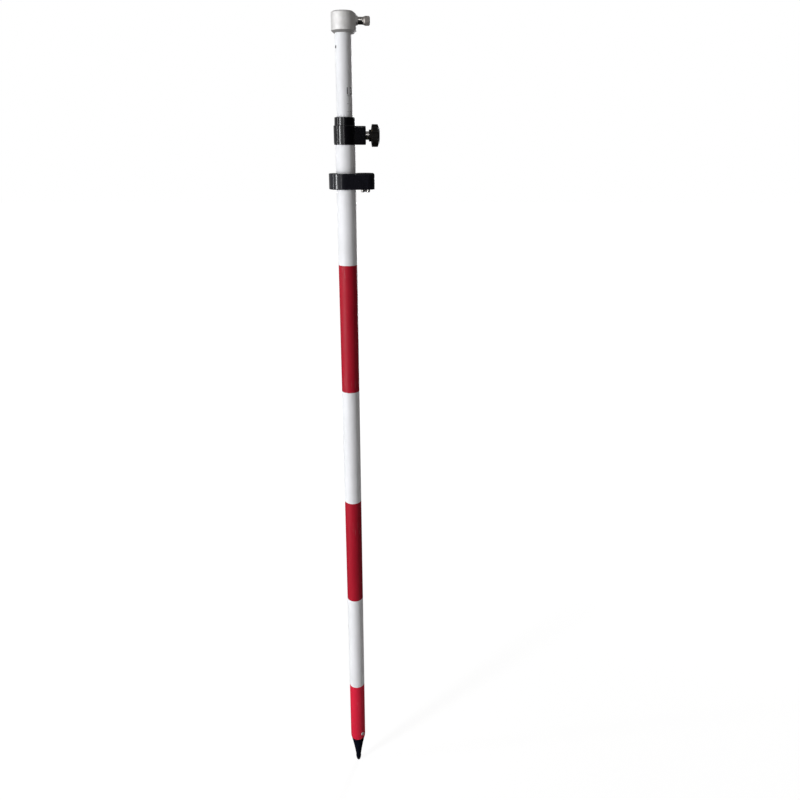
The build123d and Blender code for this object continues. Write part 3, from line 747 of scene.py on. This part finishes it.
@dataclass
class LowerSection(SubAssembly):
    """The banded lower tube with its foot, point and rivets."""

    looks: tuple[tuple[str, Look], ...] = (
        ("lower_tube", Look.BANDED_PAINT),
        ("foot_plug", Look.LIT_RED_FOOT),
        ("pole_point", Look.BLACK_POINT),
        ("foot_rivets", Look.EYELET_STEEL),
    )


@dataclass
class ClampCollar(SubAssembly):
    """The collar on the lower tube, its clamp screw and knob."""

    looks: tuple[tuple[str, Look], ...] = (
        ("clamp_collar", Look.GLOSS_BLACK),
        ("collar_liner", Look.NYLON),
        ("clamp_insert", Look.BRASS),
        ("collar_screw", Look.BLACK_SCREW),
        ("clamp_shoe", Look.NYLON),
        ("clamp_stud", Look.STUD_STEEL),
        ("clamp_knob", Look.SATIN_BLACK),
    )


@dataclass
class UpperSection(SubAssembly):
    """The white upper tube with its guide, end plug and printed height scale."""

    tube_r: float = 11.0 * MM
    print_stand: float = 0.03 * MM
    scale_angle: float = math.radians(-47.0)
    top_reading: int = 130
    end_reading: int = 215
    top_mark_z: float = 1229.0 * MM
    reading_step: float = 10.0 * MM
    big_height: float = 9.0 * MM
    big_lift: float = 0.67
    small_height: float = 4.2 * MM
    small_shift: float = 0.16
    tick_length: float = 3.2 * MM
    long_tick_length: float = 9.0 * MM
    tick_width: float = 0.35 * MM
    digit_drop: float = 1.0 * MM
    cut_step: float = 0.5 * MM
    cut_tolerance: float = 1e-7
    looks: tuple[tuple[str, Look], ...] = (
        ("upper_tube", Look.WHITE_TUBE),
        ("guide_bush", Look.NYLON),
        ("bush_retainer", Look.BRIGHT_STEEL),
        ("end_plug", Look.NYLON),
    )

    def build(self, wardrobe: Wardrobe) -> None:
        """Prints the scale on the tube.

        Args:
            wardrobe: The finishes.
        """
        form = bmesh.new()
        for reading in range(self.top_reading, self.end_reading + 1):
            z = self.top_mark_z - (reading - self.top_reading) * self.reading_step
            tens = reading % 10 == 0
            length = self.long_tick_length if tens else self.tick_length
            self._tick(form, length, z)
            if tens:
                middle = z + self.big_height * self.big_lift
                self._number(form, str(reading // 10), self.big_height, middle)
            else:
                self._number(form, str(reading % 10), self.small_height, z - self.digit_drop)
        self._cut(form)
        self._wrap(form)
        mesh = bpy.data.meshes.new("height_scale")
        form.to_mesh(mesh)
        form.free()
        scale = bpy.data.objects.new("height_scale", mesh)
        bpy.context.scene.collection.objects.link(scale)
        wardrobe.wear(scale, Look.SCALE_INK)
        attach(scale, "upper")
        LOG.info("built height_scale")

    def _tick(self, form: bmesh.types.BMesh, length: float, z: float) -> None:
        """Adds one line of the scale, still flat.

        Args:
            form: The mesh, with x along the tube's face and y up.
            length: The line's length.
            z: Its height on the pole.
        """
        left = -self.long_tick_length / 2
        low, high = z - self.tick_width / 2, z + self.tick_width / 2
        corners = ((left, low), (left + length, low), (left + length, high), (left, high))
        form.faces.new([form.verts.new((x, y, 0.0)) for x, y in corners])

    def _number(self, form: bmesh.types.BMesh, text: str, height: float, z: float) -> None:
        """Adds a number, still flat.

        Args:
            form: The mesh, with x along the tube's face and y up.
            text: The digits.
            height: Their height.
            z: The height of their middle on the pole.
        """
        curve = bpy.data.curves.new("digits", "FONT")
        curve.body = text
        curve.resolution_u = 3
        letters = bpy.data.objects.new("digits", curve)
        bpy.context.scene.collection.objects.link(letters)
        bpy.context.view_layer.update()
        shaped = letters.evaluated_get(bpy.context.evaluated_depsgraph_get())
        mesh = bpy.data.meshes.new_from_object(shaped)
        places = [vertex.co.copy() for vertex in mesh.vertices]
        low = Vector((min(p.x for p in places), min(p.y for p in places), 0.0))
        high = Vector((max(p.x for p in places), max(p.y for p in places), 0.0))
        size = height / (high.y - low.y)
        middle = (low + high) / 2
        shift = 0.0 if len(text) > 1 else self.long_tick_length * self.small_shift
        flat = [((p.x - middle.x) * size + shift, (p.y - middle.y) * size + z, 0.0) for p in places]
        new = [form.verts.new(place) for place in flat]
        for polygon in mesh.polygons:
            form.faces.new([new[index] for index in polygon.vertices])
        bpy.data.objects.remove(letters)
        bpy.data.curves.remove(curve)
        bpy.data.meshes.remove(mesh)

    def _cut(self, form: bmesh.types.BMesh) -> None:
        """Cuts the flat print into strips, so that it can bend.

        Args:
            form: The mesh.
        """
        reach = self.long_tick_length
        steps = int(2 * reach / self.cut_step)
        for step in range(1, steps):
            everything = form.verts[:] + form.edges[:] + form.faces[:]
            cut = (-reach + step * self.cut_step, 0.0, 0.0)
            bmesh.ops.bisect_plane(form, geom=everything, dist=self.cut_tolerance,
                                   plane_co=cut, plane_no=(1.0, 0.0, 0.0))

    def _wrap(self, form: bmesh.types.BMesh) -> None:
        """Bends the flat print around the tube.

        Args:
            form: The mesh.
        """
        radius = self.tube_r + self.print_stand
        for vertex in form.verts:
            angle = self.scale_angle + vertex.co.x / self.tube_r
            vertex.co = Vector((radius * math.cos(angle), radius * math.sin(angle), vertex.co.y))


@dataclass
class PrismHead(SubAssembly):
    """The silver socket on top, its clamp screw, pad and grub screw."""

    looks: tuple[tuple[str, Look], ...] = (
        ("prism_head", Look.SATIN_SILVER),
        ("head_grub_screw", Look.BLACK_SCREW),
        ("head_pad", Look.BRASS),
        ("head_screw", Look.POLISHED),
    )


@dataclass
class LevelCarrier(SubAssembly):
    """The bracket on the lower tube, with the round level in its lobe."""

    ring_d: float = 7.4 * MM
    ring_width: float = 0.35 * MM
    ring_steps: int = 64
    print_stand: float = 0.03 * MM
    looks: tuple[tuple[str, Look], ...] = (
        ("level_bracket", Look.BRACKET_BLACK),
        ("level_seat_ring", Look.RUBBER),
        ("level_housing", Look.NYLON),
        ("level_bezel", Look.BLACK_ANODISED),
        ("level_glass", Look.VIAL_GLASS),
        ("level_fluid", Look.VIAL_FLUID),
        ("level_adjust_screws", Look.STUD_STEEL),
        ("bracket_screw", Look.BLACK_SCREW),
        ("bracket_pad", Look.NYLON),
    )

    def build(self, wardrobe: Wardrobe) -> None:
        """Prints the bubble's ring on top of the glass.

        Args:
            wardrobe: The finishes.
        """
        low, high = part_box("level_glass")
        centre = (low + high) / 2
        height = high.z + self.print_stand
        form = bmesh.new()
        rings = []
        for radius in (self.ring_d / 2, self.ring_d / 2 + self.ring_width):
            ring = []
            for step in range(self.ring_steps):
                angle = math.tau * step / self.ring_steps
                x = centre.x + radius * math.cos(angle)
                y = centre.y + radius * math.sin(angle)
                ring.append(form.verts.new((x, y, height)))
            rings.append(ring)
        inner, outer = rings
        for step in range(self.ring_steps):
            after = (step + 1) % self.ring_steps
            form.faces.new((inner[step], outer[step], outer[after], inner[after]))
        mesh = bpy.data.meshes.new("bubble_ring")
        form.to_mesh(mesh)
        form.free()
        ring_piece = bpy.data.objects.new("bubble_ring", mesh)
        bpy.context.scene.collection.objects.link(ring_piece)
        wardrobe.wear(ring_piece, Look.SCALE_INK)
        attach(ring_piece, "level_carrier")
        LOG.info("built bubble_ring")


@dataclass
class Strip:
    """A softbox round the pole, at an angle counted to the left from the front, facing the pole."""

    name: str
    angle: float
    distance: float
    width: float
    height: float
    power: float
    middle: float


@dataclass
class Studio:
    """Camera, lamps, white floor and world, and a surround of painted reflections that only glossy rays
    see.
    """

    eye: Triple = (0.0, -0.989801, 1.160)
    pitch: float = math.radians(20.8665)
    yaw: float = math.radians(4.5847)
    roll: float = math.radians(0.3851)
    lens: float = 29.4561
    sensor: float = 36.0
    sight: float = 100.0
    ambient: float = 0.13
    ambient_colour: Colour = (1.0, 0.955, 0.90)
    lamp_colour: Colour = (0.97, 0.985, 1.0)
    floor_size: float = 30.0
    floor_drop: float = 0.2 * MM
    floor_colour: Colour = (0.80, 0.80, 0.80)
    shading_colour: Colour = (0.22, 0.22, 0.22)
    glow_reach: Span = (0.3, 3.0)
    glow_least: float = 0.90
    strips: tuple[Strip, ...] = (
        Strip("key_strip", math.radians(54.5), 2.4, 0.28, 2.0, 43.0, 1.01),
        Strip("side_strip", math.radians(86.0), 2.4, 0.10, 2.0, 9.0, 1.01),
        Strip("thin_strip", math.radians(14.0), 2.4, 0.05, 2.0, 2.6, 1.01),
        Strip("low_panel", math.radians(60.0), 2.0, 0.40, 0.40, 5.6, 0.25),
        Strip("front_panel", math.radians(-1.7), 2.4, 0.07, 1.4, 2.4, 2.35),
        Strip("back_strip", math.radians(-157.0), 2.4, 0.60, 2.0, 27.0, 1.01),
    )
    # Glow of the surround, a painted reflection that only glossy rays see.
    wall_light: float = 0.85
    far_light: float = 0.37
    back_light: float = 0.08
    roof_light: float = 0.25
    dark: float = 0.012
    far_end: Span = (math.radians(-66.0), math.radians(-60.0))
    wall_end: Span = (math.radians(-12.0), math.radians(-5.0))
    back_start: Span = (math.radians(95.0), math.radians(110.0))
    roof_start: Span = (3.15, 3.25)
    dark_reflection_top: float = 2.0 * MM
    surround_profile: tuple[Span, ...] = (
        (0.004, 0.0004),
        (2.9, 0.0005),
        (2.9, 3.2),
        (1.2, 4.2),
        (0.05, 4.3),
    )
    surround_steps: int = 90

    def build(self) -> None:
        """Sets up everything around the part."""
        view = bpy.context.scene.view_settings
        view.view_transform = "Standard"
        self._camera()
        self._world()
        self._floor()
        self._surround()
        for strip in self.strips:
            self._lamp(strip)

    def _camera(self) -> None:
        """Stands the camera where the photograph was taken."""
        level = math.cos(self.pitch)
        forward = Vector((math.sin(self.yaw) * level, math.cos(self.yaw) * level, -math.sin(self.pitch)))
        right = Vector((math.cos(self.yaw), -math.sin(self.yaw), 0.0))
        up = right.cross(forward)
        across = right * math.cos(self.roll) + up * math.sin(self.roll)
        upward = up * math.cos(self.roll) - right * math.sin(self.roll)
        data = bpy.data.cameras.new("photo_camera")
        data.lens = self.lens
        data.sensor_width = self.sensor
        data.clip_end = self.sight
        camera = bpy.data.objects.new("photo_camera", data)
        turn = Matrix((across, upward, -forward)).transposed().to_4x4()
        camera.matrix_world = Matrix.Translation(self.eye) @ turn
        bpy.context.scene.collection.objects.link(camera)
        bpy.context.scene.camera = camera

    @staticmethod
    def _seen(tree: Tree) -> bpy.types.NodeSocket:
        """Tells what the camera sees, directly or by way of gloss and glass.

        Args:
            tree: The tree that asks.

        Returns:
            1 for rays from the camera, from gloss and through glass, and 0 for the rest.
        """
        path = tree.add("LightPath")
        shiny = tree.math("MAXIMUM", path.outputs["Is Glossy Ray"], path.outputs["Is Transmission Ray"])
        return tree.math("MAXIMUM", path.outputs["Is Camera Ray"], shiny)

    def _world(self) -> None:
        """Makes a white background with a low, even ambient light."""
        world = bpy.data.worlds.new("studio_world")
        world.use_nodes = True
        tree = Tree(world.node_tree)
        back = world.node_tree.nodes["Background"]
        seen = self._seen(tree)
        tree.feed(back.inputs["Strength"], tree.remap(seen, 0.0, 1.0, self.ambient, 1.0))
        tree.feed(back.inputs["Color"], tree.mix(seen, self.ambient_colour, (1.0, 1.0, 1.0)))
        bpy.context.scene.world = world

    def _floor(self) -> None:
        """Lays a white floor that keeps a faint shadow."""
        half = self.floor_size / 2
        corners = [(-half, -half, 0), (half, -half, 0), (half, half, 0), (-half, half, 0)]
        mesh = bpy.data.meshes.new("studio_floor")
        mesh.from_pydata(corners, [], [(0, 1, 2, 3)])
        mesh.materials.append(self._floor_material())
        floor = bpy.data.objects.new("studio_floor", mesh)
        floor.location.z = -self.floor_drop
        bpy.context.scene.collection.objects.link(floor)

    def _floor_material(self) -> bpy.types.Material:
        """Makes the floor white where it is seen, apart from the shadow, and plain grey to other light.

        Returns:
            The material.
        """
        material = bpy.data.materials.new("studio_floor")
        material.use_nodes = True
        tree = Tree(material.node_tree)
        material.node_tree.nodes.remove(material.node_tree.nodes["Principled BSDF"])
        plain = tree.add("BsdfDiffuse")
        plain.inputs["Color"].default_value = (*self.floor_colour, 1.0)
        shading = tree.add("BsdfDiffuse")
        shading.inputs["Color"].default_value = (*self.shading_colour, 1.0)
        glow = tree.add("Emission")
        reach = tree.add("VectorMath", operation="LENGTH")
        tree.feed(reach.inputs[0], tree.place())
        strength = tree.remap(reach.outputs["Value"], *self.glow_reach, self.glow_least, 1.0)
        tree.feed(glow.inputs["Strength"], strength)
        white = tree.add("AddShader")
        tree.feed(white.inputs[0], shading.outputs[0])
        tree.feed(white.inputs[1], glow.outputs[0])
        choice = tree.add("MixShader")
        tree.feed(choice.inputs[0], self._seen(tree))
        tree.feed(choice.inputs[1], plain.outputs[0])
        tree.feed(choice.inputs[2], white.outputs[0])
        tree.feed(material.node_tree.nodes["Material Output"].inputs["Surface"], choice.outputs[0])
        return material

    def _surround(self) -> None:
        """Puts a surround of painted reflections round the pole: walls that glow and a dark floor sheet,
        which only glossy rays see and which give no diffuse light and no shadow.
        """
        profile = self.surround_profile
        form = bmesh.new()
        before: list[bmesh.types.BMVert] = []
        for step in range(self.surround_steps + 1):
            angle = math.tau * step / self.surround_steps - math.pi
            line = [form.verts.new((r * math.sin(angle), -r * math.cos(angle), z)) for r, z in profile]
            for index in range(len(profile) - 1 if before else 0):
                form.faces.new((before[index], line[index], line[index + 1], before[index + 1]))
            before = line
        mesh = bpy.data.meshes.new("painted_reflection_surround")
        form.to_mesh(mesh)
        form.free()
        surround = bpy.data.objects.new("painted_reflection_surround", mesh)
        bpy.context.scene.collection.objects.link(surround)
        mesh.materials.append(self._surround_material())
        surround.visible_camera = False
        surround.visible_diffuse = False
        surround.visible_shadow = False
        surround.visible_transmission = False

    def _surround_material(self) -> bpy.types.Material:
        """Makes the painted reflection light on the left and above, dim at the back, dark on the right
        and below.

        Returns:
            The material.
        """
        material = bpy.data.materials.new("painted_reflection_surround")
        material.use_nodes = True
        tree = Tree(material.node_tree)
        material.node_tree.nodes.remove(material.node_tree.nodes["Principled BSDF"])
        split = tree.add("SeparateXYZ")
        tree.feed(split.inputs[0], tree.place())
        ahead = tree.math("MULTIPLY", split.outputs["Y"], -1.0)
        angle = tree.math("ARCTAN2", split.outputs["X"], ahead)
        left = tree.remap(angle, *self.far_end, self.far_light, self.wall_light)
        left = tree.math("MULTIPLY", left, tree.remap(angle, *self.wall_end, 1.0, 0.0))
        back = tree.remap(angle, *self.back_start, self.dark, self.back_light)
        wall = tree.math("MAXIMUM", left, back)
        roof = tree.remap(split.outputs["Z"], *self.roof_start)
        above = tree.math("MULTIPLY", roof, self.roof_light)
        wall = tree.math("ADD", tree.math("MULTIPLY", wall, tree.math("SUBTRACT", 1.0, roof)), above)
        # Painted dark reflection: the floor sheet of the surround stays dark.
        wall = tree.math("MULTIPLY", wall, tree.math("GREATER_THAN", split.outputs["Z"], self.dark_reflection_top))
        light = tree.add("Emission")
        tree.feed(light.inputs["Strength"], tree.math("MAXIMUM", wall, self.dark))
        tree.feed(material.node_tree.nodes["Material Output"].inputs["Surface"], light.outputs[0])
        return material

    def _lamp(self, strip: Strip) -> None:
        """Stands one softbox up, facing the pole.

        Args:
            strip: Its place, size and power.
        """
        data = bpy.data.lights.new(strip.name, "AREA")
        data.shape = "RECTANGLE"
        data.size = strip.width
        data.size_y = strip.height
        data.energy = strip.power
        data.color = self.lamp_colour
        lamp = bpy.data.objects.new(strip.name, data)
        x = -strip.distance * math.sin(strip.angle)
        y = -strip.distance * math.cos(strip.angle)
        lamp.location = (x, y, strip.middle)
        aim = Vector((0.0, 0.0, strip.middle)) - lamp.location
        lamp.rotation_euler = aim.to_track_quat("-Z", "Y").to_euler()
        lamp.visible_camera = False
        bpy.context.scene.collection.objects.link(lamp)


def main() -> None:
    """Loads the frame, dresses each sub-assembly and sets up the studio."""
    logging.basicConfig(level=logging.INFO)
    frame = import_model()
    wardrobe = Wardrobe(EffectGroups())
    for section in (LowerSection(), ClampCollar(), UpperSection(), PrismHead(), LevelCarrier()):
        section.build(wardrobe)
        section.dress(frame["nodes"], wardrobe)
    Studio().build()


if __name__ == "__main__":
    main()
